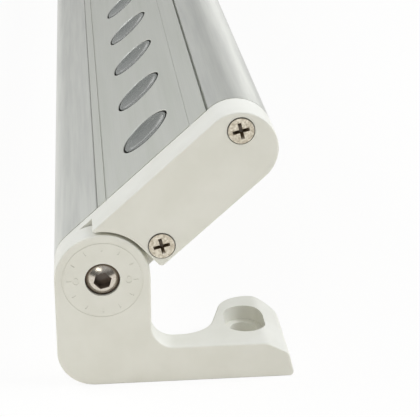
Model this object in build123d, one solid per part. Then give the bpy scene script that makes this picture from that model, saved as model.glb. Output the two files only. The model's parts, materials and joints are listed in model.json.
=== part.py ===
from build123d import *
import math
import os

os.makedirs("parts", exist_ok=True)

# A linear floodlight on two end brackets, at rest with its front leaning back.
# X runs along the lamp, Y from its front to its back and Z up, in millimetres and degrees.
# The origin is under the middle of the lamp, on the surface that the brackets stand on.

# Whole lamp
lamp_length = 1000.0
pivot_height = 43.5
rest_tilt = 42.0
lens_count = 18
board_count = 3
end_lens_from_end = 51.2
cut_over = 4.0

# Lamp section, seen along X: t runs up the front face, n runs out of it, from the pivot axis
section_width = 100.7
section_depth = 28.2
round_below_pivot = 2.5
middle_before_pivot = 2.6
round_wall = 2.5
back_wall = 4.5
web_thickness = 2.0
inner_wall = 2.9
groove_floor = 2.5
ledge_width = 3.1
mouth_flare = 0.3

# Grooves along the back of the housing
fin_groove_width = 2.5
fin_groove_depth = 2.5
fin_pitch = 5.0
gland_band_width = 22.5

# Front cover, which slides into the housing by a tongue along each edge
cover_from_pivot = 14.1
cover_from_high_side = 15.6
cover_thickness = 3.0
cover_low_gap = 0.5
cover_high_gap = 1.0
tongue_reach = 2.0
tongue_thickness = 1.5
tongue_clearance = 0.2
low_line_inset = 4.6
low_line_width = 1.0
low_line_depth = 0.3
high_line_inset = 7.2
high_line_width = 2.2
high_line_depth = 0.2
hole_chamfer = 0.25
cover_gasket_thickness = 0.8

# Lenses, turned about the normal of the front face, standing on the boards
lens_row_below_middle = 0.8
lens_barrel_radius = 10.7
lens_hole_gap = 0.8
lens_rim_depth = 0.1
lens_rim_round = 0.25
lens_rim_width = 0.9
lens_dish_depth = 1.3
lens_flange_reach = 2.2
lens_flange_thickness = 1.5
lens_standoff = 6.3
lens_foot_radius = 6.5
lens_shoulder_radius = 10.5
lens_cavity_radius = 3.6
lens_cavity_depth = 3.4
lens_cavity_crown = 0.7

# Emitters
emitter_width = 5.0
emitter_base_height = 1.1
emitter_dome_radius = 1.6

# Boards and what is fixed on them
board_edge_gap = 9.1
board_thickness = 1.6
board_gap = 0.8
board_screw_from_edge = 3.5
board_screw_radius = 1.5
board_screw_length = 4.0
board_screw_head_radius = 2.75
board_screw_head_height = 2.0
board_screw_socket = 2.0
board_screw_socket_depth = 1.2
board_screw_clearance = 0.2
tapped_clearance = 0.05
connector_length = 10.0
connector_width = 6.0
connector_height = 3.0
terminal_length = 8.0
terminal_width = 5.0
terminal_height = 5.0
terminal_lead_height = 2.6

# Driver and leads in the rear tunnel
driver_length = 200.0
driver_port_gap = 1.0
driver_edge_gap = 0.7
driver_roof_gap = 1.0
driver_corner = 1.5
output_lead_radius = 1.25
output_bend_share = 0.93
output_lead_inset = 2.5
lead_hole_clearance = 0.75
supply_lead_radius = 2.0
supply_lead_inset = 6.0
supply_block_length = 22.0
supply_block_width = 16.0
supply_block_height = 6.0
supply_block_from_gland = 25.0

# Cable gland in the back of the housing, near the far end
gland_from_end = 70.0
gland_hex = 16.0
gland_flange = 3.0
gland_thread_radius = 6.0
gland_thread_inside = 8.0
gland_hole_clearance = 0.05
gland_bore_radius = 3.25
gland_outer_thread_radius = 5.5
gland_outer_thread_length = 7.0
lock_nut_thickness = 3.0
seal_radius = 4.5
seal_bore_radius = 3.0
seal_length = 6.0
seal_seat_clearance = 0.1
dome_nut_hex = 15.0
dome_nut_gap = 0.4
dome_nut_hex_length = 6.0
dome_nut_length = 10.0
dome_nut_tip_radius = 5.2
dome_nut_bore_radius = 3.5
hex_chamfer = 0.6

# End caps
cap_depth = 16.5
cap_flange = 5.0
cap_edge = 0.6
cap_corner = 1.6
cap_tip = 0.7
recess_gap = 1.15
cap_boss_gap = 1.0
cap_boss_length = 13.5
end_gasket_thickness = 0.8
end_gasket_inset = 0.6
end_gasket_hole_clearance = 0.4

# Cap screws, countersunk with a cross recess
port_radius = 4.5
high_screw_from_side = 6.9
low_screw_from_side = 5.95
low_screw_from_back = 6.3
cap_screw_radius = 2.5
cap_screw_length = 25.0
cap_screw_head_radius = 4.7
cap_screw_head_edge = 0.4
cap_screw_proud = 0.4
cap_screw_head_gap = 0.4
cap_screw_head_groove = 0.9
cap_screw_hole_clearance = 0.2
port_clearance = 0.025
cross_length = 6.2
cross_width = 1.3
cross_depth = 2.8
cross_tip_radius = 1.3
cross_turn = -28.0

# Brackets
bracket_thickness = 11.0
head_radius = 17.7
foot_thickness = 14.5
foot_reach = 71.8
foot_flat_reach = 61.5
foot_side_lean = 2.35
foot_side_height = 10.0
heel_radius = 14.0
crook_radius = 9.0
toe_top_radius = 8.0
toe_radius = 4.0
toe_bottom_radius = 1.6
bracket_edge = 0.7
boss_centre_inward = 30.0
boss_bottom_radius = 14.2
boss_draft = 8.0
web_hollow_radius = 14.0
web_hollow_reach = 29.0
slot_inward = 21.75
slot_reach = 55.1
slot_length = 17.1
slot_width = 10.0
slot_sink_length = 22.7
slot_sink_width = 15.6
slot_sink_depth = 6.0

# Dial engraved on the bracket head
dial_radius = 15.0
dial_line = 0.5
dial_depth = 0.15
tick_count = 12
tick_radius = 12.3
tick_length = 1.5
index_length = 1.8
zero_radius = 9.7
zero_width = 2.4
zero_height = 3.2

# Pivot bolt, its bores and the friction washer behind the bracket head
bolt_radius = 4.0
bolt_length = 20.0
bolt_head_radius = 6.35
bolt_head_height = 8.0
bolt_head_proud = 1.4
bolt_dome_radius = 8.0
bolt_socket = 6.0
bolt_socket_depth = 4.7
bolt_socket_turn = 15.0
bolt_running_clearance = 0.07
bolt_hole_clearance = 0.05
bolt_hole_spare = 0.5
bolt_sink_clearance = 0.15
washer_radius = 12.0
washer_bore_clearance = 0.35
washer_thickness = 0.5

# Places worked out from the sizes above
tilt_cos = math.cos(math.radians(rest_tilt))
tilt_sin = math.sin(math.radians(rest_tilt))
lamp_end = lamp_length / 2
pivot_y = (head_radius - foot_reach) / 2
foot_top = foot_thickness - pivot_height
lens_pitch = (lamp_length - 2 * end_lens_from_end) / (lens_count - 1)
round_radius = section_depth / 2
hollow_radius = round_radius - round_wall
middle_n = middle_before_pivot
front_n = middle_n + round_radius
back_n = middle_n - round_radius
low_round_t = -round_below_pivot
high_round_t = low_round_t + section_width - section_depth
middle_t = (low_round_t + high_round_t) / 2
housing_end = lamp_end - cap_depth - end_gasket_thickness
cover_low_t = cover_from_pivot
cover_high_t = high_round_t + round_radius - cover_from_high_side
cover_middle_t = (cover_low_t + cover_high_t) / 2
lens_row_t = cover_middle_t - lens_row_below_middle
opening_low_t = cover_low_t - cover_low_gap
opening_high_t = cover_high_t + cover_high_gap
cover_back_n = front_n - cover_thickness
lip_n = cover_back_n + tongue_thickness + tongue_clearance
ledge_n = cover_back_n - cover_gasket_thickness
channel_half = cover_middle_t - cover_low_t - ledge_width
channel_low_t = lens_row_t - channel_half
channel_high_t = lens_row_t + channel_half
board_top_n = ledge_n - lens_flange_thickness - lens_standoff
board_back_n = board_top_n - board_thickness
tunnel_roof_n = board_back_n - web_thickness
tunnel_floor_n = back_n + back_wall
tunnel_middle_n = (tunnel_floor_n + tunnel_roof_n) / 2
tunnel_low_t = low_round_t + hollow_radius + inner_wall
tunnel_high_t = cover_high_t - inner_wall
lens_hole_radius = lens_barrel_radius + lens_hole_gap
lens_flange_radius = lens_barrel_radius + lens_flange_reach
lenses_per_board = lens_count // board_count
board_length = lenses_per_board * lens_pitch - board_gap
board_width = 2 * (channel_half - board_edge_gap)
recess_radius = head_radius + recess_gap
high_screw_offset = (round_radius - high_screw_from_side) * math.sqrt(0.5)
high_screw = (high_round_t + high_screw_offset, middle_n + high_screw_offset)
low_screw = (recess_radius + low_screw_from_side, back_n + low_screw_from_back)
low_port_edge_t = low_screw[0] + port_radius
cap_boss_radius = hollow_radius - math.hypot(round_below_pivot, middle_before_pivot) - cap_boss_gap
driver_low_t = low_port_edge_t + driver_port_gap
driver_high_t = tunnel_high_t - driver_edge_gap
driver_top_n = tunnel_roof_n - driver_roof_gap
lead_n = (tunnel_floor_n + driver_top_n) / 2
output_lead_t = driver_high_t - output_lead_inset
gland_t = (low_port_edge_t + tunnel_high_t) / 2
gland_x = gland_from_end - lamp_end
supply_block_x = gland_x + supply_block_from_gland + supply_block_length / 2
lead_hole_x = lens_pitch
boss_top_radius = boss_bottom_radius - foot_thickness * math.tan(math.radians(boss_draft))

STANDING = (Align.CENTER, Align.CENTER, Align.MIN)


def lamp_point(x, t, n):
    """A point of the lamp, from its place along the lamp, up the front face and out of it."""
    return (x, pivot_y + t * tilt_cos - n * tilt_sin, pivot_height + t * tilt_sin + n * tilt_cos)


def section_plane(x):
    """The plane of the lamp's section, with t to its right and n up."""
    return Plane(origin=lamp_point(x, 0, 0), x_dir=(0, tilt_cos, tilt_sin), z_dir=(1, 0, 0))


def face_plane(x, t, n):
    """A plane parallel to the front face, with X to its right and t up."""
    return Plane(origin=lamp_point(x, t, n), x_dir=(1, 0, 0), z_dir=(0, -tilt_sin, tilt_cos))


def along_lamp(sketch, start, end):
    """A section drawn in t and n, drawn out along the lamp."""
    return extrude(section_plane(start) * sketch, amount=end - start)


def span(low_t, high_t, low_n, high_n):
    """A rectangle of the section between two places in t and two in n."""
    middle = Pos((low_t + high_t) / 2, (low_n + high_n) / 2)
    return middle * Rectangle(high_t - low_t, high_n - low_n)


def flared_slot(low_t, high_t, floor_n, mouth_n, flare):
    """A slot of the section whose mouth has both corners broken at 45 degrees."""
    out = cut_over if mouth_n > floor_n else -cut_over
    throat_n = mouth_n - flare if mouth_n > floor_n else mouth_n + flare
    wide = flare + cut_over
    return make_face(
        Polyline(
            (low_t, floor_n),
            (high_t, floor_n),
            (high_t, throat_n),
            (high_t + wide, mouth_n + out),
            (low_t - wide, mouth_n + out),
            (low_t, throat_n),
            close=True,
        )
    )


def lamp_outline(inset):
    """The rounded outline of the lamp's section, drawn in by an inset on every side."""
    stadium = SlotOverall(section_width - 2 * inset, section_depth - 2 * inset)
    return Pos(middle_t, middle_n) * stadium


def lens_places():
    """Where the lenses stand along the lamp, from the right end to the left one."""
    first = (lens_count - 1) / 2 * lens_pitch
    return [first - index * lens_pitch for index in range(lens_count)]


def board_places():
    """Where the middles of the boards lie along the lamp, in the order of the lenses."""
    step = lenses_per_board * lens_pitch
    first = (board_count - 1) / 2 * step
    return [first - index * step for index in range(board_count)]


def board_screw_places(board_x):
    """The four screws of a board, between its two outer lenses at each end."""
    reach = (lenses_per_board / 2 - 1) * lens_pitch
    half = board_width / 2 - board_screw_from_edge
    return [(board_x + side * reach, lens_row_t + up * half) for side in (-1, 1) for up in (-1, 1)]


def face_cut(x, t, low_n, high_n, radius):
    """A round cutter square to the front face."""
    return face_plane(x, t, low_n) * Cylinder(radius, high_n - low_n, align=STANDING)


def turned(plane, points):
    """A solid turned about the plane's normal from a profile of radii and heights."""
    profile = make_face(Polyline(*[(radius, 0, height) for radius, height in points], close=True))
    return plane * revolve(profile, Axis.Z)


def housing_extrusion():
    hollow = Circle(hollow_radius)
    low_hollow = Pos(low_round_t, middle_n) * hollow
    high_hollow = Pos(high_round_t, middle_n) * hollow
    high_hollow &= span(cover_high_t, high_round_t + round_radius, back_n, ledge_n - groove_floor)
    high_hollow -= Pos(*high_screw) * Circle(port_radius)
    tunnel = span(tunnel_low_t, tunnel_high_t, tunnel_floor_n, tunnel_roof_n)
    tunnel -= Pos(*low_screw) * Circle(port_radius)
    outline = lamp_outline(0)
    outline -= flared_slot(opening_low_t, opening_high_t, lip_n, front_n, mouth_flare)
    outline -= span(opening_low_t - tongue_reach, opening_high_t + tongue_reach, ledge_n, lip_n)
    outline -= span(channel_low_t, channel_high_t, board_back_n, lip_n)
    outline -= low_hollow
    outline -= high_hollow
    outline -= tunnel
    first = (gland_band_width + fin_groove_width) / 2
    for side, last_t in ((-1, tunnel_low_t), (1, tunnel_high_t)):
        for index in range(1 + int((abs(last_t - gland_t) - first) / fin_pitch)):
            groove_t = gland_t + side * (first + index * fin_pitch)
            half = fin_groove_width / 2
            floor_n = back_n + fin_groove_depth
            outline -= flared_slot(groove_t - half, groove_t + half, floor_n, back_n, mouth_flare)
    for screw in (high_screw, low_screw):
        outline -= Pos(*screw) * Circle(cap_screw_radius + port_clearance)
    body = along_lamp(outline, -housing_end, housing_end)
    tapped = board_screw_radius + tapped_clearance
    under_web_n = tunnel_roof_n - web_thickness
    for board_x in board_places():
        for x, t in board_screw_places(board_x):
            body -= face_cut(x, t, under_web_n, ledge_n, tapped)
    lead_hole = output_lead_radius + lead_hole_clearance
    body -= face_cut(lead_hole_x, output_lead_t, under_web_n, ledge_n, lead_hole)
    gland_hole = gland_thread_radius + gland_hole_clearance
    body -= face_cut(gland_x, gland_t, back_n - cut_over, tunnel_middle_n, gland_hole)
    return body


def front_cover():
    outline = span(cover_low_t, cover_high_t, cover_back_n, front_n)
    outline += span(
        cover_low_t - tongue_reach,
        cover_high_t + tongue_reach,
        cover_back_n,
        cover_back_n + tongue_thickness,
    )
    low_line = cover_low_t + low_line_inset
    high_line = cover_high_t - high_line_inset
    for line_t, width, depth in (
        (low_line, low_line_width, low_line_depth),
        (high_line, high_line_width, high_line_depth),
    ):
        outline -= span(line_t - width / 2, line_t + width / 2, front_n - depth, front_n + cut_over)
    cover = along_lamp(outline, -housing_end, housing_end)
    mouth = lens_hole_radius + hole_chamfer
    hole = (
        (0, -cut_over),
        (lens_hole_radius, -cut_over),
        (lens_hole_radius, cover_thickness - hole_chamfer),
        (mouth, cover_thickness),
        (mouth, cover_thickness + cut_over),
        (0, cover_thickness + cut_over),
    )
    for lens_x in lens_places():
        cover -= turned(face_plane(lens_x, lens_row_t, cover_back_n), hole)
    return cover


def cover_gasket():
    sheet = span(cover_low_t, cover_high_t, ledge_n, cover_back_n)
    gasket = along_lamp(sheet, -housing_end, housing_end)
    for lens_x in lens_places():
        low, high = ledge_n - cut_over, cover_back_n + cut_over
        gasket -= face_cut(lens_x, lens_row_t, low, high, lens_hole_radius)
    return gasket


def lens(lens_x):
    flange_back = lens_standoff
    flange_front = lens_standoff + lens_flange_thickness
    rim = front_n - lens_rim_depth - board_top_n
    dish_floor = rim - lens_dish_depth
    face_radius = lens_barrel_radius - lens_rim_round
    dish_radius = face_radius - lens_rim_width
    round_edge = lens_rim_round * math.sqrt(0.5)
    cavity_wall = lens_cavity_depth - lens_cavity_crown
    sides = Polyline(
        (lens_cavity_radius, 0, cavity_wall),
        (lens_cavity_radius, 0, 0),
        (lens_foot_radius, 0, 0),
        (lens_shoulder_radius, 0, flange_back),
        (lens_flange_radius, 0, flange_back),
        (lens_flange_radius, 0, flange_front),
        (lens_barrel_radius, 0, flange_front),
        (lens_barrel_radius, 0, rim - lens_rim_round),
    )
    rounding = ThreePointArc(
        (lens_barrel_radius, 0, rim - lens_rim_round),
        (face_radius + round_edge, 0, rim - lens_rim_round + round_edge),
        (face_radius, 0, rim),
    )
    ring = Line((face_radius, 0, rim), (dish_radius, 0, rim))
    dish = cap_arc(dish_radius, rim, dish_floor)
    ceiling = cap_arc(lens_cavity_radius, cavity_wall, lens_cavity_depth)
    core = Line((0, 0, dish_floor), (0, 0, lens_cavity_depth))
    profile = make_face(sides + rounding + ring + dish + core + ceiling)
    return face_plane(lens_x, lens_row_t, board_top_n) * revolve(profile, Axis.Z)


def cap_arc(radius, rim, crown):
    """Half of a shallow dome's or dish's profile, from its rim to the point on its axis."""
    rise = crown - rim
    sphere = (radius**2 + rise**2) / (2 * rise)
    turn = math.asin(radius / sphere) / 2
    middle = (sphere * math.sin(turn), 0, crown - sphere * (1 - math.cos(turn)))
    return ThreePointArc((radius, 0, rim), middle, (0, 0, crown))


def led_emitters(board_x):
    group = []
    for index in range(lenses_per_board):
        lens_x = board_x + ((lenses_per_board - 1) / 2 - index) * lens_pitch
        base = Box(emitter_width, emitter_width, emitter_base_height, align=STANDING)
        ball = Pos(0, 0, emitter_base_height) * Sphere(emitter_dome_radius)
        below = Box(emitter_width, emitter_width, emitter_dome_radius, align=STANDING)
        dome = ball & (Pos(0, 0, emitter_base_height) * below)
        group.append(face_plane(lens_x, lens_row_t, board_top_n) * (base + dome))
    return Compound(children=group)


def led_board(board_x):
    plate = Box(board_length, board_width, board_thickness, align=STANDING)
    board = face_plane(board_x, lens_row_t, board_back_n) * plate
    hole = board_screw_radius + board_screw_clearance
    for x, t in board_screw_places(board_x):
        board -= face_cut(x, t, board_back_n - cut_over, board_top_n + cut_over, hole)
    return board


def board_screws():
    group = []
    for board_x in board_places():
        for x, t in board_screw_places(board_x):
            head = Cylinder(board_screw_head_radius, board_screw_head_height, align=STANDING)
            shank = Pos(0, 0, -board_screw_length) * Cylinder(
                board_screw_radius, board_screw_length, align=STANDING
            )
            socket_floor = board_screw_head_height - board_screw_socket_depth
            socket = extrude(
                Pos(0, 0, socket_floor) * hexagon(board_screw_socket),
                amount=board_screw_socket_depth + cut_over,
            )
            group.append(face_plane(x, t, board_top_n) * (head + shank - socket))
    return Compound(children=group)


def hexagon(across_flats):
    """A hexagon with two flats square to its first axis, by its width across flats."""
    return RegularPolygon(across_flats / 2, 6, major_radius=False)


def board_connector(joint_x):
    block = Box(connector_length, connector_width, connector_height, align=STANDING)
    return face_plane(joint_x, lens_row_t, board_top_n) * block


def terminal_block():
    block = Box(terminal_length, terminal_width, terminal_height, align=STANDING)
    return face_plane(lead_hole_x, lens_row_t, board_top_n) * block


def driver_module():
    outline = span(driver_low_t, driver_high_t, tunnel_floor_n, driver_top_n)
    outline = fillet(outline.vertices(), driver_corner)
    return along_lamp(outline, -driver_length, 0)


def output_lead():
    """The lead from the driver up through the web and over the board to its terminal."""
    high_n = board_top_n + terminal_lead_height
    path = FilletPolyline(
        lamp_point(0, output_lead_t, lead_n),
        lamp_point(lead_hole_x, output_lead_t, lead_n),
        lamp_point(lead_hole_x, output_lead_t, high_n),
        lamp_point(lead_hole_x, lens_row_t + terminal_width / 2, high_n),
        radius=output_bend_share * (high_n - lead_n) / 2,
    )
    start = section_plane(0) * Pos(output_lead_t, lead_n) * Circle(output_lead_radius)
    return sweep(start, path=path)


def supply_lead():
    """The lead from its block to the driver, with one gentle shift on the way."""
    start_x = supply_block_x + supply_block_length / 2
    middle_x = (start_x - driver_length) / 2
    end_t = driver_low_t + supply_lead_inset
    path = Bezier(
        lamp_point(start_x, gland_t, lead_n),
        lamp_point(middle_x, gland_t, lead_n),
        lamp_point(middle_x, end_t, lead_n),
        lamp_point(-driver_length, end_t, lead_n),
    )
    start = section_plane(start_x) * Pos(gland_t, lead_n) * Circle(supply_lead_radius)
    return sweep(start, path=path)


def supply_block():
    block = Box(supply_block_length, supply_block_width, supply_block_height, align=STANDING)
    return face_plane(supply_block_x, gland_t, tunnel_floor_n) * block


def gland_plane(out):
    """A plane square to the gland, at a distance out of the housing's back face."""
    inward = (0, -tilt_sin, tilt_cos)
    outward = tuple(-part for part in inward)
    return Plane(origin=lamp_point(gland_x, gland_t, back_n - out), x_dir=(1, 0, 0), z_dir=outward)


def hex_prism(across_flats, length):
    """A hexagonal prism along its plane's normal with its outer corners turned off."""
    corner = across_flats / math.sqrt(3)
    prism = extrude(hexagon(across_flats), amount=length)
    lathe = (
        (0, 0),
        (corner + hex_chamfer, 0),
        (corner + hex_chamfer, length - hex_chamfer * 2),
        (corner - hex_chamfer, length),
        (0, length),
    )
    return prism & turned(Plane.XY, lathe)


def gland_body():
    solid = hex_prism(gland_hex, gland_flange)
    inside = Pos(0, 0, -gland_thread_inside) * Cylinder(
        gland_thread_radius, gland_thread_inside, align=STANDING
    )
    outside = Pos(0, 0, gland_flange) * Cylinder(
        gland_outer_thread_radius, gland_outer_thread_length, align=STANDING
    )
    bore_length = gland_thread_inside + gland_flange + gland_outer_thread_length
    bore = Pos(0, 0, -gland_thread_inside - cut_over) * Cylinder(
        gland_bore_radius, bore_length + 2 * cut_over, align=STANDING
    )
    seat_radius = seal_radius + seal_seat_clearance
    seat = Pos(0, 0, gland_seat_out()) * Cylinder(seat_radius, seal_length + cut_over, align=STANDING)
    return gland_plane(0) * (solid + inside + outside - bore - seat)


def gland_seat_out():
    """How far out of the housing's back face the seal sits."""
    return gland_flange + gland_outer_thread_length - seal_length


def gland_lock_nut():
    hole = Pos(0, 0, -cut_over) * Cylinder(
        gland_thread_radius + gland_hole_clearance, lock_nut_thickness + 2 * cut_over, align=STANDING
    )
    nut = hex_prism(gland_hex, lock_nut_thickness)
    return gland_plane(-back_wall) * Rot(180, 0, 0) * (nut - hole)


def gland_seal():
    ring = Cylinder(seal_radius, seal_length, align=STANDING)
    ring -= Pos(0, 0, -cut_over) * Cylinder(
        seal_bore_radius, seal_length + 2 * cut_over, align=STANDING
    )
    return gland_plane(gland_seat_out()) * ring


def gland_dome_nut():
    """A hexagonal nut that narrows to a round nose over the seal."""
    thread = gland_outer_thread_radius + gland_hole_clearance
    collar = gland_outer_thread_length - dome_nut_gap
    hexed = hex_prism(dome_nut_hex, dome_nut_hex_length)
    shoulder = dome_nut_hex / 2 - hex_chamfer
    nose = turned(
        Plane.XY,
        (
            (0, dome_nut_hex_length),
            (shoulder, dome_nut_hex_length),
            (dome_nut_tip_radius, dome_nut_length),
            (0, dome_nut_length),
        ),
    )
    bore = turned(
        Plane.XY,
        (
            (0, -cut_over),
            (thread, -cut_over),
            (thread, collar),
            (dome_nut_bore_radius, collar),
            (dome_nut_bore_radius, dome_nut_length + cut_over),
            (0, dome_nut_length + cut_over),
        ),
    )
    return gland_plane(gland_flange + dome_nut_gap) * (hexed + nose - bore)


def cap_outline():
    """The thick part of an end cap: the lamp's section, clear of the bracket head."""
    recess = Circle(recess_radius)
    recess += span(-section_width, recess_radius, -section_depth, 0)
    recess += span(-section_width, 0, -section_depth, section_depth)
    outline = lamp_outline(0) - recess
    front_t = math.sqrt(max(recess_radius**2 - front_n**2, 0))
    for t, n, radius in ((front_t, front_n, cap_tip), (recess_radius, back_n, cap_corner)):
        outline = fillet(outline.vertices().sort_by_distance((t, n, 0))[0], radius)
    return outline


def screw_cut():
    """The hole of a cap screw, from the cap's outer face inwards."""
    sunk = cap_screw_head_radius + cap_screw_head_gap
    floor = cap_screw_head_groove
    hole = cap_screw_radius + cap_screw_hole_clearance
    top = cap_screw_head_radius + cap_screw_hole_clearance + cap_screw_head_edge - cap_screw_proud
    return (
        (0, cut_over),
        (sunk, cut_over),
        (sunk, -floor),
        (top - floor, -floor),
        (hole, hole - top),
        (hole, -cap_depth - cut_over),
        (0, -cap_depth - cut_over),
    )


def end_plane(t, n, inward):
    """A plane square to the lamp's axis at its right end, facing out."""
    centre = lamp_point(lamp_end - inward, t, n)
    return Plane(origin=centre, x_dir=(0, tilt_cos, tilt_sin), z_dir=(1, 0, 0))


def end_cap():
    """The right end cap; the left one is its mirror image."""
    thick = along_lamp(cap_outline(), lamp_end - cap_depth, lamp_end)
    thick = fillet(thick.faces().sort_by(Axis.X)[-1].edges(), cap_edge)
    flange = along_lamp(lamp_outline(0), lamp_end - cap_depth, lamp_end - cap_depth + cap_flange)
    boss_end = lamp_end - cap_depth - cap_boss_length
    boss = along_lamp(Circle(cap_boss_radius), boss_end, lamp_end - cap_depth)
    cap = thick + flange + boss
    for t, n in (high_screw, low_screw):
        cap -= turned(end_plane(t, n, 0), screw_cut())
    hole_end = lamp_end - bolt_tip_inward() - bolt_hole_spare
    hole = Circle(bolt_radius + bolt_hole_clearance)
    cap -= along_lamp(hole, hole_end, lamp_end + cut_over)
    return cap


def bolt_tip_inward():
    """How far the pivot bolt reaches in from the bracket's outer face."""
    return bolt_head_height + bolt_length - bolt_head_proud


def end_gasket():
    sheet = lamp_outline(end_gasket_inset)
    sheet -= Circle(cap_boss_radius + end_gasket_hole_clearance)
    for screw in (high_screw, low_screw):
        sheet -= Pos(*screw) * Circle(cap_screw_radius + end_gasket_hole_clearance)
    return along_lamp(sheet, housing_end, housing_end + end_gasket_thickness)


def cap_screws():
    neck = cap_screw_radius - cap_screw_head_radius - cap_screw_head_edge
    body = (
        (0, 0),
        (cap_screw_head_radius, 0),
        (cap_screw_head_radius, -cap_screw_head_edge),
        (cap_screw_radius, neck),
        (cap_screw_radius, -cap_screw_length),
        (0, -cap_screw_length),
    )
    cross = Rectangle(cross_length, cross_width) + Rectangle(cross_width, cross_length)
    slots = extrude(Pos(0, 0, -cross_depth) * cross, amount=cross_depth + cut_over)
    taper = (
        (0, -cross_depth),
        (cross_tip_radius, -cross_depth),
        (cross_length / 2, 0),
        (cross_length / 2, cut_over),
        (0, cut_over),
    )
    recess = Rot(0, 0, cross_turn) * (slots & turned(Plane.XY, taper))
    group = []
    for t, n in (high_screw, low_screw):
        screw = turned(Plane.XY, body) - recess
        group.append(end_plane(t, n, -cap_screw_proud) * screw)
    return Compound(children=group)


def bracket_plane(x):
    """A plane square to the lamp's axis through the pivot, with Y to its right and Z up."""
    return Plane(origin=(x, pivot_y, pivot_height), x_dir=(0, 1, 0), z_dir=(1, 0, 0))


def bracket_profile():
    """The bracket from the end: round head, stem with a round heel, and foot."""
    lean = math.pi / 2 + math.atan(foot_side_lean / foot_side_height)
    corner_y = foot_reach + toe_bottom_radius * (math.tan(lean / 2) - 1)
    sides = FilletPolyline(
        (-head_radius, 0),
        (-head_radius, -pivot_height),
        (corner_y, -pivot_height),
        (corner_y - foot_side_lean, foot_side_height - pivot_height),
        (foot_flat_reach, foot_top),
        (head_radius, foot_top),
        (head_radius, 0),
        radius=(heel_radius, toe_bottom_radius, toe_radius, toe_top_radius, crook_radius),
    )
    return make_face(sides + ThreePointArc((head_radius, 0), (0, head_radius), (-head_radius, 0)))


def foot_web():
    """The foot's plan between the stem and the boss, with a hollow inner side."""
    hollow_x = lamp_end - bracket_thickness - web_hollow_radius
    hollow_y = pivot_y + web_hollow_reach
    boss_x = lamp_end - boss_centre_inward
    boss_y = pivot_y + foot_reach - boss_bottom_radius
    gap = math.dist((hollow_x, hollow_y), (boss_x, boss_y))
    facing = math.atan2(boss_y - hollow_y, boss_x - hollow_x)
    leave = facing - math.acos((web_hollow_radius + boss_top_radius) / gap)
    halfway = leave / 2
    start = (hollow_x + web_hollow_radius, hollow_y)
    middle = (
        hollow_x + web_hollow_radius * math.cos(halfway),
        hollow_y + web_hollow_radius * math.sin(halfway),
    )
    end = (
        hollow_x + web_hollow_radius * math.cos(leave),
        hollow_y + web_hollow_radius * math.sin(leave),
    )
    touch = (
        boss_x - boss_top_radius * math.cos(leave),
        boss_y - boss_top_radius * math.sin(leave),
    )
    inside = lamp_end - bracket_thickness / 2
    rest = Polyline(
        end,
        touch,
        (boss_x, boss_y),
        (boss_x, pivot_y + foot_reach + cut_over),
        (inside, pivot_y + foot_reach + cut_over),
        (inside, hollow_y),
        start,
    )
    return make_face(ThreePointArc(start, middle, end) + rest)


def foot_boss():
    """The drafted boss that takes the mounting screw, trimmed to the foot's profile.

    The rounding of its top edge meets the arm's own where its hollow side starts.
    """
    boss_x = lamp_end - boss_centre_inward
    boss_y = pivot_y + foot_reach - boss_bottom_radius
    cone = Cone(boss_bottom_radius, boss_top_radius, foot_thickness, align=STANDING)
    boss = Pos(boss_x, boss_y, 0) * cone + extrude(foot_web(), amount=foot_thickness)
    far = lamp_end - boss_centre_inward - boss_bottom_radius - cut_over
    wide = extrude(bracket_plane(far) * bracket_profile(), amount=lamp_end - far)
    boss &= wide
    rounds = boss.edges().filter_by(GeomType.CIRCLE).group_by(Axis.Z)[-1]
    return fillet(rounds, bracket_edge)


def slot_cut(length, width, floor_z):
    """An obround cutter of the foot, open at its top."""
    place = Pos(lamp_end - slot_inward, pivot_y + slot_reach, floor_z)
    return extrude(place * SlotOverall(length, width), amount=foot_thickness + 2 * cut_over)


def dial():
    """Grooves engraved on the bracket head: a ring, ticks and a zero at either side."""
    grooves = Circle(dial_radius) - Circle(dial_radius - dial_line)
    for index in range(tick_count):
        turn = 360 / tick_count * index
        level = turn % 180 == 0
        length = index_length if level else tick_length
        grooves += Rot(0, 0, turn) * Pos(tick_radius, 0) * Rectangle(length, dial_line)
    for side in (-1, 1):
        zero = Ellipse(zero_width / 2, zero_height / 2)
        zero -= Ellipse(zero_width / 2 - dial_line, zero_height / 2 - dial_line)
        grooves += Pos(side * zero_radius, 0) * zero
    return extrude(bracket_plane(lamp_end - dial_depth) * grooves, amount=dial_depth + cut_over)


def bracket():
    """The right bracket; the left one is its mirror image."""
    back = lamp_end - bracket_thickness
    arm = extrude(bracket_plane(back) * bracket_profile(), amount=bracket_thickness)
    sides = arm.faces().sort_by(Axis.X)
    arm = fillet(sides[0].edges() + sides[-1].edges(), bracket_edge)
    solid = arm + foot_boss()
    solid -= slot_cut(slot_length, slot_width, -cut_over)
    solid -= slot_cut(slot_sink_length, slot_sink_width, foot_thickness - slot_sink_depth)
    bore = Circle(bolt_radius + bolt_running_clearance)
    solid -= extrude(bracket_plane(back - cut_over) * bore, amount=bracket_thickness + 2 * cut_over)
    sink = Circle(bolt_head_radius + bolt_sink_clearance)
    sink_floor = lamp_end + bolt_head_proud - bolt_head_height
    solid -= extrude(bracket_plane(sink_floor) * sink, amount=bolt_head_height + cut_over)
    return solid - dial()


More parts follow.
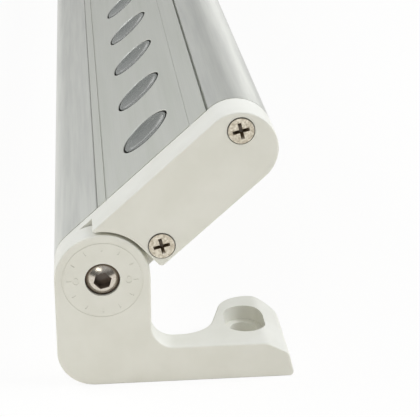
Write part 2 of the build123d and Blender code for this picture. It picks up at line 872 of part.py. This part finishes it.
def pivot_bolt():
    """The right pivot bolt; the left one is its mirror image."""
    below_crown = bolt_dome_radius - math.sqrt(bolt_dome_radius**2 - bolt_head_radius**2)
    rim = bolt_head_height - below_crown
    sides = Polyline(
        (0, 0, bolt_head_height),
        (0, 0, -bolt_length),
        (bolt_radius, 0, -bolt_length),
        (bolt_radius, 0, 0),
        (bolt_head_radius, 0, 0),
        (bolt_head_radius, 0, rim),
    )
    dome = cap_arc(bolt_head_radius, rim, bolt_head_height)
    bolt = revolve(make_face(sides + dome), Axis.Z)
    socket = Rot(0, 0, bolt_socket_turn) * hexagon(bolt_socket)
    socket = Pos(0, 0, bolt_head_height - bolt_socket_depth) * socket
    bolt -= extrude(socket, amount=bolt_socket_depth + cut_over)
    return bracket_plane(lamp_end + bolt_head_proud - bolt_head_height) * bolt


def friction_washer():
    ring = Circle(washer_radius) - Circle(bolt_radius + washer_bore_clearance)
    back = lamp_end - bracket_thickness - washer_thickness
    return extrude(bracket_plane(back) * ring, amount=washer_thickness)


nodes = {
    "housing_extrusion": housing_extrusion(),
    "front_cover": front_cover(),
    "cover_gasket": cover_gasket(),
    "board_screws": board_screws(),
    "driver_module": driver_module(),
    "output_lead": output_lead(),
    "terminal_block": terminal_block(),
    "supply_lead": supply_lead(),
    "supply_block": supply_block(),
    "gland_body": gland_body(),
    "gland_lock_nut": gland_lock_nut(),
    "gland_seal": gland_seal(),
    "gland_dome_nut": gland_dome_nut(),
}
for number, lens_x in enumerate(lens_places(), start=1):
    nodes[f"lens_{number:02d}"] = lens(lens_x)
for number, board_x in enumerate(board_places(), start=1):
    nodes[f"led_board_{number}"] = led_board(board_x)
    nodes[f"led_emitters_{number}"] = led_emitters(board_x)
for number in range(1, board_count):
    joint_x = (board_places()[number - 1] + board_places()[number]) / 2
    nodes[f"board_connector_{number}"] = board_connector(joint_x)
right_pieces = {
    "end_cap": end_cap(),
    "end_gasket": end_gasket(),
    "cap_screws": cap_screws(),
    "bracket": bracket(),
    "pivot_bolt": pivot_bolt(),
    "friction_washer": friction_washer(),
}
for name, piece in right_pieces.items():
    nodes[f"{name}_right"] = piece
    nodes[f"{name}_left"] = mirror(piece, about=Plane.YZ)

for name, solid in nodes.items():
    export_step(solid, f"parts/{name}.step")
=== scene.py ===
import json
import math

import bpy
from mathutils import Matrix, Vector


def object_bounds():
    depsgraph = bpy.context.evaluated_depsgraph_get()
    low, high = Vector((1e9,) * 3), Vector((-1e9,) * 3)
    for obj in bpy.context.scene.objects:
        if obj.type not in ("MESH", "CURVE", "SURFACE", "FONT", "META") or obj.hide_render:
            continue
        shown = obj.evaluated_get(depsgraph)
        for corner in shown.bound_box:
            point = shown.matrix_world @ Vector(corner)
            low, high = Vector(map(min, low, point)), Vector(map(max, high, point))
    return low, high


# The linear floodlight with its finishes: powder coat on the castings, anodised aluminium on
# the housing and cover, clear acrylic lenses over emitters on white boards, stainless screws.
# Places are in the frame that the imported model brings. Lengths are in metres, except that the
# camera's sensor and what has a name ending in mm are in millimetres. Angles are in degrees.

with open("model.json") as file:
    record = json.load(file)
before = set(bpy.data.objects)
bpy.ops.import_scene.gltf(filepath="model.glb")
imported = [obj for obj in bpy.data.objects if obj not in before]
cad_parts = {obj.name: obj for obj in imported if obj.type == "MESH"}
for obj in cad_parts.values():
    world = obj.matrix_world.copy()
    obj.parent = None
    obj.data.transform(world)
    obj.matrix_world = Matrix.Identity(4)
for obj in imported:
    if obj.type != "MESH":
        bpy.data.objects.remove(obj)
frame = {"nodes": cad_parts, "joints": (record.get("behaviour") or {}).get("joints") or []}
cad_low, cad_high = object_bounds()

MM = 0.001
NODES = frame["nodes"]
JOINTS = {joint["name"]: joint for joint in frame["joints"]}
PIVOT = Vector(JOINTS["tilt"]["pos_m"])

# The photograph's width in pixels, and the camera fitted to the dial, the straight edges and
# the lens row. Yaw is the turn from looking along the lamp, and pitch is how far it looks down.
PHOTO_WIDTH = 420
FOCAL_PIXELS = 1402.5
SENSOR_WIDTH = 36.0
CAMERA_FROM_PIVOT = (468.1 * MM, -6.24 * MM, 216.74 * MM)
CAMERA_YAW = 5.588
CAMERA_PITCH = 22.0
CLIP_NEAR = 0.01
CLIP_FAR = 50.0

# Curved faces are shaded as curved where their facets meet at less than this angle
SHARP_ANGLE = 28.0

# Floor: how far it reaches each way, the gap under the feet, its colour, and how much of its
# look is plain white instead of light and shadow
FLOOR_REACH = 6.0
FLOOR_GAP = 0.05 * MM
FLOOR_COLOUR = "f4f1e8"
FLOOR_GLOW = 0.9

# World: its colours by height, from straight down at 0 to straight up at 1, for the half beyond
# the lamp's far end and the half on the camera's side, and how far they blend to each side
WORLD_LEVEL = 0.8
WORLD_BLEND = 0.5
WORLD_HEIGHTS = (0.0, 0.5, 0.54, 0.66, 0.85, 1.0)
WORLD_BEHIND = ("e1e1df", "e1e1df", "cccccc", "f4f5f5", "a6a7a9", "a6a7a9")
WORLD_BEFORE = ("e1e1df", "e1e1df", "787878", "787878", "d4d6da", "d4d6da")

# Soft boxes: name, place from the pivot, width, height, colour and power in watts
LAMPS = (
    ("front_box", (0.92, -0.40, 0.83), 0.6, 0.3, "fffcf6", 1.4),
    ("top_box", (0.30, -0.30, 1.25), 0.6, 0.6, "f4f7ff", 1.4),
    ("side_box", (0.00, 1.10, 0.95), 0.8, 0.8, "f4f7ff", 14.0),
    ("far_box", (-2.86, 0.86, 0.35), 1.2, 0.5, "ffffff", 2.8),
    ("left_box", (-0.40, -0.95, 0.80), 0.7, 0.7, "f4f7ff", 7.4),
    ("near_box", (0.30, -0.06, -0.02), 0.16, 0.08, "fffaf2", 0.11),
)

# The colour sockets of a Mix node, which share their names with its other sockets
MIX_LOW, MIX_HIGH, MIX_RESULT = 6, 7, 2

# Index of refraction of each kind of clear or painted surface
PLASTIC_IOR = 1.5
ACRYLIC_IOR = 1.49
SILICONE_IOR = 1.41

# How far the roughness of steel and of moulded surfaces strays each way, and how many samples
# find the narrow gaps of a surface
SHEEN_SPREAD = 0.05
SHELTER_SAMPLES = 16


def linear(colour):
    """An sRGB hex colour as the linear red, green, blue and alpha that a shader takes."""
    values = [int(colour[start:start + 2], 16) / 255 for start in (0, 2, 4)]
    curve = [v / 12.92 if v <= 0.04045 else ((v + 0.055) / 1.055) ** 2.4 for v in values]
    return (*curve, 1.0)


def per_metre(size_mm):
    """The texture scale at which one feature of a pattern is as large as the real one."""
    return 1 / (size_mm * MM)


def add_node(tree, kind, settings=None, values=None, links=None):
    """Adds a node with its settings, its socket values and the links into its sockets."""
    made = tree.nodes.new(kind)
    for name, value in (settings or {}).items():
        setattr(made, name, value)
    for name, value in (values or {}).items():
        made.inputs[name].default_value = value
    for name, source in (links or {}).items():
        tree.links.new(source, made.inputs[name])
    return made


def new_material(name):
    """An empty node material and its tree, ready for a shader."""
    material = bpy.data.materials.new(name)
    material.use_nodes = True
    tree = material.node_tree
    tree.nodes.clear()
    return material, tree


def finish_material(tree, shader):
    """Adds the material's output and joins the shader to it."""
    add_node(tree, "ShaderNodeOutputMaterial", links={"Surface": shader.outputs[0]})


def place_of(tree, stretch=(1.0, 1.0, 1.0)):
    """The point of the surface in the part's own frame, with each axis stretched."""
    here = add_node(tree, "ShaderNodeTexCoord")
    mapping = add_node(tree, "ShaderNodeMapping", values={"Scale": stretch})
    tree.links.new(here.outputs["Object"], mapping.inputs["Vector"])
    return mapping.outputs["Vector"]


def shade_between(tree, factor, low, high, start=0.0, end=1.0):
    """Two colours or two grey levels, chosen by a pattern's value."""
    ramp = add_node(tree, "ShaderNodeValToRGB", links={"Fac": factor})
    ramp.color_ramp.elements[0].position = start
    ramp.color_ramp.elements[0].color = low
    ramp.color_ramp.elements[1].position = end
    ramp.color_ramp.elements[1].color = high
    return ramp.outputs["Color"]


def grey(level):
    """A grey level as the colour that a ramp or a socket takes."""
    return (level, level, level, 1.0)


def open_share(tree, reach_mm, deep, open_face):
    """How open a point is: 0 deep in a recess or a narrow gap, 1 on an open face."""
    shelter = add_node(
        tree,
        "ShaderNodeAmbientOcclusion",
        {"samples": SHELTER_SAMPLES},
        {"Distance": reach_mm * MM},
    )
    return shade_between(tree, shelter.outputs["AO"], grey(0.0), grey(1.0), deep, open_face)


def with_painted_shade(tree, colour, shade_colour, unshaded_share):
    """A colour mixed towards a painted shade colour where the surface is sheltered."""
    mixed = add_node(tree, "ShaderNodeMix", {"data_type": "RGBA"}, links={"Factor": unshaded_share})
    mixed.inputs[MIX_LOW].default_value = linear(shade_colour)
    tree.links.new(colour, mixed.inputs[MIX_HIGH])
    return mixed.outputs[MIX_RESULT]


def powder_coat():
    """Polyester powder coat on a casting: warm white, satin, with a fine orange peel.

    The casting under it shows as soft patches of tone. Narrow gaps and seams are darkened with
    painted shade.
    """
    peel_mm, peel_height = 0.9, 0.05 * MM
    patch_mm = 14.0
    gap_mm = 1.0
    material, tree = new_material("white_powder_coat")
    place = place_of(tree)
    peel = add_node(
        tree,
        "ShaderNodeTexNoise",
        values={"Scale": per_metre(peel_mm), "Detail": 2.0, "Roughness": 0.5},
        links={"Vector": place},
    )
    patches = add_node(
        tree,
        "ShaderNodeTexNoise",
        values={"Scale": per_metre(patch_mm), "Detail": 3.0},
        links={"Vector": place},
    )
    colour = shade_between(
        tree, patches.outputs["Fac"], linear("e1e0d5"), linear("e6e5db"), 0.35, 0.65
    )
    # Painted shade: a dark olive colour where the coat is sheltered in narrow gaps and seams
    colour = with_painted_shade(tree, colour, "3a3728", open_share(tree, gap_mm, 0.15, 0.5))
    rough = shade_between(tree, peel.outputs["Fac"], grey(0.42), grey(0.52))
    bump = add_node(
        tree,
        "ShaderNodeBump",
        values={"Strength": 0.12, "Distance": peel_height},
        links={"Height": peel.outputs["Fac"]},
    )
    shader = add_node(
        tree,
        "ShaderNodeBsdfPrincipled",
        values={"IOR": PLASTIC_IOR},
        links={"Base Color": colour, "Roughness": rough, "Normal": bump.outputs["Normal"]},
    )
    finish_material(tree, shader)
    return material


def anodised(name, low, high, band, grazing, roughness, line_mm, band_mm):
    """Extruded aluminium, etched and anodised: a satin metal with faint lines along it.

    The die leaves the fine lines and the broad soft bands. The etch leaves a grain, drawn
    coarser than the real one, so that it shows.
    """
    line_stretch, band_stretch = 0.004, 0.06
    line_depth = 0.02 * MM
    etch_mm, etch_depth = 0.25, 0.01 * MM
    material, tree = new_material(name)
    lines = add_node(
        tree,
        "ShaderNodeTexNoise",
        values={"Scale": per_metre(line_mm), "Detail": 3.0, "Roughness": 0.6},
        links={"Vector": place_of(tree, (line_stretch, 1.0, 1.0))},
    )
    etch = add_node(
        tree,
        "ShaderNodeTexNoise",
        values={"Scale": per_metre(etch_mm), "Detail": 1.0},
        links={"Vector": place_of(tree)},
    )
    colour = shade_between(tree, lines.outputs["Fac"], linear(low), linear(high), 0.3, 0.7)
    bands = add_node(
        tree,
        "ShaderNodeTexNoise",
        values={"Scale": per_metre(band_mm), "Detail": 2.0, "Roughness": 0.55},
        links={"Vector": place_of(tree, (band_stretch, 1.0, 1.0))},
    )
    banded = shade_between(tree, bands.outputs["Fac"], linear(band), grey(1.0), 0.3, 0.62)
    toned = add_node(
        tree, "ShaderNodeMix", {"data_type": "RGBA", "blend_type": "MULTIPLY"}, {"Factor": 1.0}
    )
    tree.links.new(colour, toned.inputs[MIX_LOW])
    tree.links.new(banded, toned.inputs[MIX_HIGH])
    rough = shade_between(
        tree, lines.outputs["Fac"], grey(roughness - 0.02), grey(roughness + 0.02), 0.3, 0.7
    )
    lined = add_node(
        tree,
        "ShaderNodeBump",
        values={"Strength": 0.025, "Distance": line_depth},
        links={"Height": lines.outputs["Fac"]},
    )
    etched = add_node(
        tree,
        "ShaderNodeBump",
        values={"Strength": 0.1, "Distance": etch_depth},
        links={"Height": etch.outputs["Fac"], "Normal": lined.outputs["Normal"]},
    )
    shader = add_node(
        tree,
        "ShaderNodeBsdfPrincipled",
        values={"Metallic": 1.0, "Specular Tint": grey(grazing)},
        links={
            "Base Color": toned.outputs[MIX_RESULT],
            "Roughness": rough,
            "Normal": etched.outputs["Normal"],
        },
    )
    finish_material(tree, shader)
    return material


def clear_acrylic():
    """Moulded acrylic: glossy, with a faint flow ripple and painted shade that makes its edge
    almost black in its hole.

    A grey tint and less transmission than clear acrylic has give the tone that it shows at a
    flat angle. Seen straight on, it is darker than the real one.
    """
    ripple_mm, ripple_height = 3.0, 0.05 * MM
    edge_mm = 2.6
    material, tree = new_material("clear_acrylic")
    ripple = add_node(
        tree,
        "ShaderNodeTexNoise",
        values={"Scale": per_metre(ripple_mm), "Detail": 1.0},
        links={"Vector": place_of(tree)},
    )
    bump = add_node(
        tree,
        "ShaderNodeBump",
        values={"Strength": 0.05, "Distance": ripple_height},
        links={"Height": ripple.outputs["Fac"]},
    )
    # Painted shade: the lens turns almost black where its hole shelters its edge
    unshaded_share = open_share(tree, edge_mm, 0.35, 0.85)
    colour = shade_between(tree, unshaded_share, linear("101211"), linear("a6aaa3"))
    shader = add_node(
        tree,
        "ShaderNodeBsdfPrincipled",
        values={"Roughness": 0.12, "IOR": ACRYLIC_IOR, "Transmission Weight": 0.6},
        links={"Base Color": colour, "Normal": bump.outputs["Normal"]},
    )
    finish_material(tree, shader)
    return material


def stainless(name, low, high, roughness, shade_colour, recess_mm):
    """Turned stainless steel: warm grey and bright, with painted shade in its recesses, where it
    also stops being metal.

    Its fine wear specks are drawn coarser than the real ones, so that they show.
    """
    speck_mm, speck_depth = 0.8, 0.02 * MM
    material, tree = new_material(name)
    speck = add_node(
        tree,
        "ShaderNodeTexNoise",
        values={"Scale": per_metre(speck_mm), "Detail": 4.0},
        links={"Vector": place_of(tree)},
    )
    colour = shade_between(tree, speck.outputs["Fac"], linear(low), linear(high), 0.3, 0.7)
    # Painted shade: a dull dark brown in the recesses, where the steel also stops being metal
    unshaded_share = open_share(tree, recess_mm, 0.45, 0.72)
    colour = with_painted_shade(tree, colour, shade_colour, unshaded_share)
    rough = shade_between(
        tree, speck.outputs["Fac"], grey(roughness - SHEEN_SPREAD), grey(roughness + SHEEN_SPREAD)
    )
    bump = add_node(
        tree,
        "ShaderNodeBump",
        values={"Strength": 0.15, "Distance": speck_depth},
        links={"Height": speck.outputs["Fac"]},
    )
    shader = add_node(
        tree,
        "ShaderNodeBsdfPrincipled",
        links={
            "Base Color": colour,
            "Metallic": unshaded_share,
            "Roughness": rough,
            "Normal": bump.outputs["Normal"],
        },
    )
    finish_material(tree, shader)
    return material


def nickel_plate():
    """Nickel plate on turned brass: bright and faintly yellow.

    Its grain is drawn coarser than the real one, so that it shows.
    """
    grain_mm = 0.5
    material, tree = new_material("nickel_plated_brass")
    grain = add_node(
        tree,
        "ShaderNodeTexNoise",
        values={"Scale": per_metre(grain_mm), "Detail": 2.0},
        links={"Vector": place_of(tree)},
    )
    colour = shade_between(tree, grain.outputs["Fac"], linear("bdb8ad"), linear("c8c3b8"), 0.3, 0.7)
    rough = shade_between(tree, grain.outputs["Fac"], grey(0.2), grey(0.28))
    shader = add_node(
        tree,
        "ShaderNodeBsdfPrincipled",
        values={"Metallic": 1.0},
        links={"Base Color": colour, "Roughness": rough},
    )
    finish_material(tree, shader)
    return material


def moulded(name, low, high, roughness, grain_mm, ior=PLASTIC_IOR):
    """A moulded or cast plain surface, slightly uneven in tone and sheen.

    The mould's texture is drawn coarser than the real one, so that it shows.
    """
    grain_height = 0.03 * MM
    material, tree = new_material(name)
    grain = add_node(
        tree,
        "ShaderNodeTexNoise",
        values={"Scale": per_metre(grain_mm), "Detail": 2.0},
        links={"Vector": place_of(tree)},
    )
    colour = shade_between(tree, grain.outputs["Fac"], linear(low), linear(high), 0.3, 0.7)
    rough = shade_between(
        tree, grain.outputs["Fac"], grey(roughness - SHEEN_SPREAD), grey(roughness + SHEEN_SPREAD)
    )
    bump = add_node(
        tree,
        "ShaderNodeBump",
        values={"Strength": 0.1, "Distance": grain_height},
        links={"Height": grain.outputs["Fac"]},
    )
    shader = add_node(
        tree,
        "ShaderNodeBsdfPrincipled",
        values={"IOR": ior},
        links={"Base Color": colour, "Roughness": rough, "Normal": bump.outputs["Normal"]},
    )
    finish_material(tree, shader)
    return material


def dress(names, material):
    """Gives the named parts a material in place of the one that they came with."""
    for name in names:
        mesh = NODES[name].data
        mesh.materials.clear()
        mesh.materials.append(material)


def nodes_of(prefix):
    """The names of the parts that start alike."""
    return sorted(name for name in NODES if name.startswith(prefix))


def dress_castings():
    """Powder coat on what is cast: the end caps and the brackets."""
    dress(nodes_of("end_cap") + nodes_of("bracket"), powder_coat())


def dress_metals():
    """The bare and plated metals."""
    # Extruded and anodised aluminium. The cover's satin is greyer and flatter than the housing's.
    housing = anodised(
        "anodised_housing", "dcddd6", "e2e3dc", "f3f3f4", 0.88, 0.38, line_mm=0.35, band_mm=3.0
    )
    cover = anodised(
        "anodised_cover", "d0d1c9", "d6d7cf", "f9faf8", 0.92, 0.42, line_mm=0.3, band_mm=5.0
    )
    dress(["housing_extrusion"], housing)
    dress(["front_cover"], cover)

    # Turned stainless steel. The cap screws are yellower and duller than the pivot bolts.
    # The dark browns are painted shade in the cross recesses, the hex sockets and the gap round the
    # bolt heads
    screws = stainless("stainless_screws", "a79d89", "e4ddcd", 0.3, "64533c", recess_mm=3.0)
    bolts = stainless("stainless_bolt", "c9c0b2", "d9d2c6", 0.2, "6a5c4f", recess_mm=7.0)
    dress(nodes_of("cap_screws") + ["board_screws"], screws)
    dress(nodes_of("pivot_bolt"), bolts)

    dress(["gland_body", "gland_lock_nut", "gland_dome_nut"], nickel_plate())


def dress_plastics():
    """The lenses and everything that is moulded, sheathed or coated."""
    dress(nodes_of("lens"), clear_acrylic())

    # Moulded nylon: milky white and half matt
    nylon = moulded("white_nylon", "dcdbd3", "e4e3dc", 0.45, 1.0)
    dress(["terminal_block", "supply_block"] + nodes_of("board_connector"), nylon)

    # Nylon washers, worn matt and a little grey by the turning bracket
    dress(nodes_of("friction_washer"), moulded("washer_nylon", "c8c7c0", "d0cfc8", 0.5, 1.0))

    # Silicone rubber, moulded or cut from sheet: pale and soft in its sheen
    silicone = moulded("silicone_rubber", "e2e2dc", "eaeae4", 0.6, 0.6, SILICONE_IOR)
    dress(nodes_of("end_gasket") + ["cover_gasket"], silicone)

    # Moulded black rubber: matt, and a dark grey where light falls on it
    dress(["gland_seal"], moulded("black_rubber", "17171a", "202024", 0.65, 0.5))

    # Cast potting resin: black with a soft gloss, slightly wavy
    dress(["driver_module"], moulded("potting_resin", "141416", "1c1c1f", 0.4, 2.0))

    # Extruded PVC sheath: black and smooth
    dress(["output_lead", "supply_lead"], moulded("pvc_sheath", "121213", "1a1a1c", 0.42, 1.0))

    # Printed solder mask on the boards: bright white with a soft gloss
    dress(nodes_of("led_board"), moulded("solder_mask", "e3e3de", "ebebe6", 0.4, 1.5))

    # Silicone cast over phosphor: yellow and glossy
    phosphor = moulded("phosphor_silicone", "dcbc4e", "e4c75e", 0.3, 0.8, SILICONE_IOR)
    dress(nodes_of("led_emitters"), phosphor)


def smooth_rounds():
    """Shades the curved faces of every part as curved, and keeps its sharp edges."""
    for part in NODES.values():
        mesh = part.data
        if not mesh.has_custom_normals:
            mesh.polygons.foreach_set("use_smooth", [True] * len(mesh.polygons))
            mesh.set_sharp_from_angle(angle=math.radians(SHARP_ANGLE))


def make_floor():
    """A pale floor that shows as white round the object and keeps its soft shadow."""
    mesh = bpy.data.meshes.new("floor")
    corners = [(x, y, 0) for x, y in ((-1, -1), (1, -1), (1, 1), (-1, 1))]
    mesh.from_pydata([Vector(corner) * FLOOR_REACH for corner in corners], [], [(0, 1, 2, 3)])
    floor = bpy.data.objects.new("floor", mesh)
    bpy.context.scene.collection.objects.link(floor)
    floor.location.z = cad_low[2] - FLOOR_GAP
    material, tree = new_material("pale_floor")
    diffuse = add_node(tree, "ShaderNodeBsdfDiffuse", values={"Color": linear(FLOOR_COLOUR)})
    glow = add_node(tree, "ShaderNodeEmission", values={"Color": linear("ffffff"), "Strength": 1.0})
    path = add_node(tree, "ShaderNodeLightPath")
    seen = path.outputs["Is Camera Ray"]
    for way in ("Is Glossy Ray", "Is Transmission Ray"):
        either = add_node(
            tree, "ShaderNodeMath", {"operation": "MAXIMUM"}, links={0: seen, 1: path.outputs[way]}
        )
        seen = either.outputs[0]
    share = add_node(
        tree, "ShaderNodeMath", {"operation": "MULTIPLY"}, {1: FLOOR_GLOW}, {0: seen}
    )
    shader = add_node(
        tree,
        "ShaderNodeMixShader",
        links={0: share.outputs[0], 1: diffuse.outputs[0], 2: glow.outputs[0]},
    )
    finish_material(tree, shader)
    mesh.materials.append(material)


def make_world():
    """A soft studio, pale below the horizon.

    Beyond the far end it is bright above the horizon and grey overhead. On the camera's side it
    has a dark band above the horizon and is pale overhead.
    """
    world = bpy.data.worlds.new("studio")
    world.use_nodes = True
    tree = world.node_tree
    tree.nodes.clear()
    here = add_node(tree, "ShaderNodeTexCoord")
    parts = add_node(tree, "ShaderNodeSeparateXYZ", links={"Vector": here.outputs["Generated"]})
    height = add_node(
        tree,
        "ShaderNodeMapRange",
        values={"From Min": -1.0},
        links={"Value": parts.outputs["Z"]},
    )
    side = add_node(
        tree,
        "ShaderNodeMapRange",
        {"interpolation_type": "SMOOTHSTEP"},
        {"From Min": -WORLD_BLEND, "From Max": WORLD_BLEND},
        {"Value": parts.outputs["X"]},
    )
    both = add_node(
        tree, "ShaderNodeMix", {"data_type": "RGBA"}, links={"Factor": side.outputs["Result"]}
    )
    for socket, colours in ((MIX_LOW, WORLD_BEHIND), (MIX_HIGH, WORLD_BEFORE)):
        ramp = add_node(tree, "ShaderNodeValToRGB", links={"Fac": height.outputs["Result"]})
        stops = ramp.color_ramp.elements
        while len(stops) < len(WORLD_HEIGHTS):
            stops.new(0.5)
        for stop, position, colour in zip(stops, WORLD_HEIGHTS, colours):
            stop.position = position
            stop.color = linear(colour)
        tree.links.new(ramp.outputs["Color"], both.inputs[socket])
    light = add_node(
        tree,
        "ShaderNodeBackground",
        values={"Strength": WORLD_LEVEL},
        links={"Color": both.outputs[MIX_RESULT]},
    )
    add_node(tree, "ShaderNodeOutputWorld", links={"Surface": light.outputs[0]})
    bpy.context.scene.world = world


def aim(thing, place, facing):
    """Adds a light or the camera to the scene at a place, looking the way that it faces."""
    thing.location = place
    thing.rotation_euler = facing.to_track_quat("-Z", "Y").to_euler()
    bpy.context.scene.collection.objects.link(thing)


def make_lights():
    """Rectangular soft boxes round the end in view, all facing its pivot."""
    for name, offset, width, height, colour, power in LAMPS:
        data = bpy.data.lights.new(name, "AREA")
        data.shape = "RECTANGLE"
        data.size = width
        data.size_y = height
        data.color = linear(colour)[:3]
        data.energy = power
        place = PIVOT + Vector(offset)
        aim(bpy.data.objects.new(name, data), place, PIVOT - place)


def make_camera():
    """The camera at the photograph's place, with the photograph's angle of view."""
    data = bpy.data.cameras.new("camera")
    data.sensor_fit = "HORIZONTAL"
    data.sensor_width = SENSOR_WIDTH
    data.lens = FOCAL_PIXELS / PHOTO_WIDTH * SENSOR_WIDTH
    data.clip_start = CLIP_NEAR
    data.clip_end = CLIP_FAR
    yaw = math.radians(CAMERA_YAW)
    pitch = math.radians(CAMERA_PITCH)
    facing = Vector((
        -math.cos(yaw) * math.cos(pitch),
        math.sin(yaw) * math.cos(pitch),
        -math.sin(pitch),
    ))
    camera = bpy.data.objects.new("camera", data)
    aim(camera, PIVOT + Vector(CAMERA_FROM_PIVOT), facing)
    bpy.context.scene.camera = camera


smooth_rounds()
dress_metals()
dress_castings()
dress_plastics()
make_floor()
make_world()
make_lights()
make_camera()
bpy.context.scene.view_settings.view_transform = "Standard"
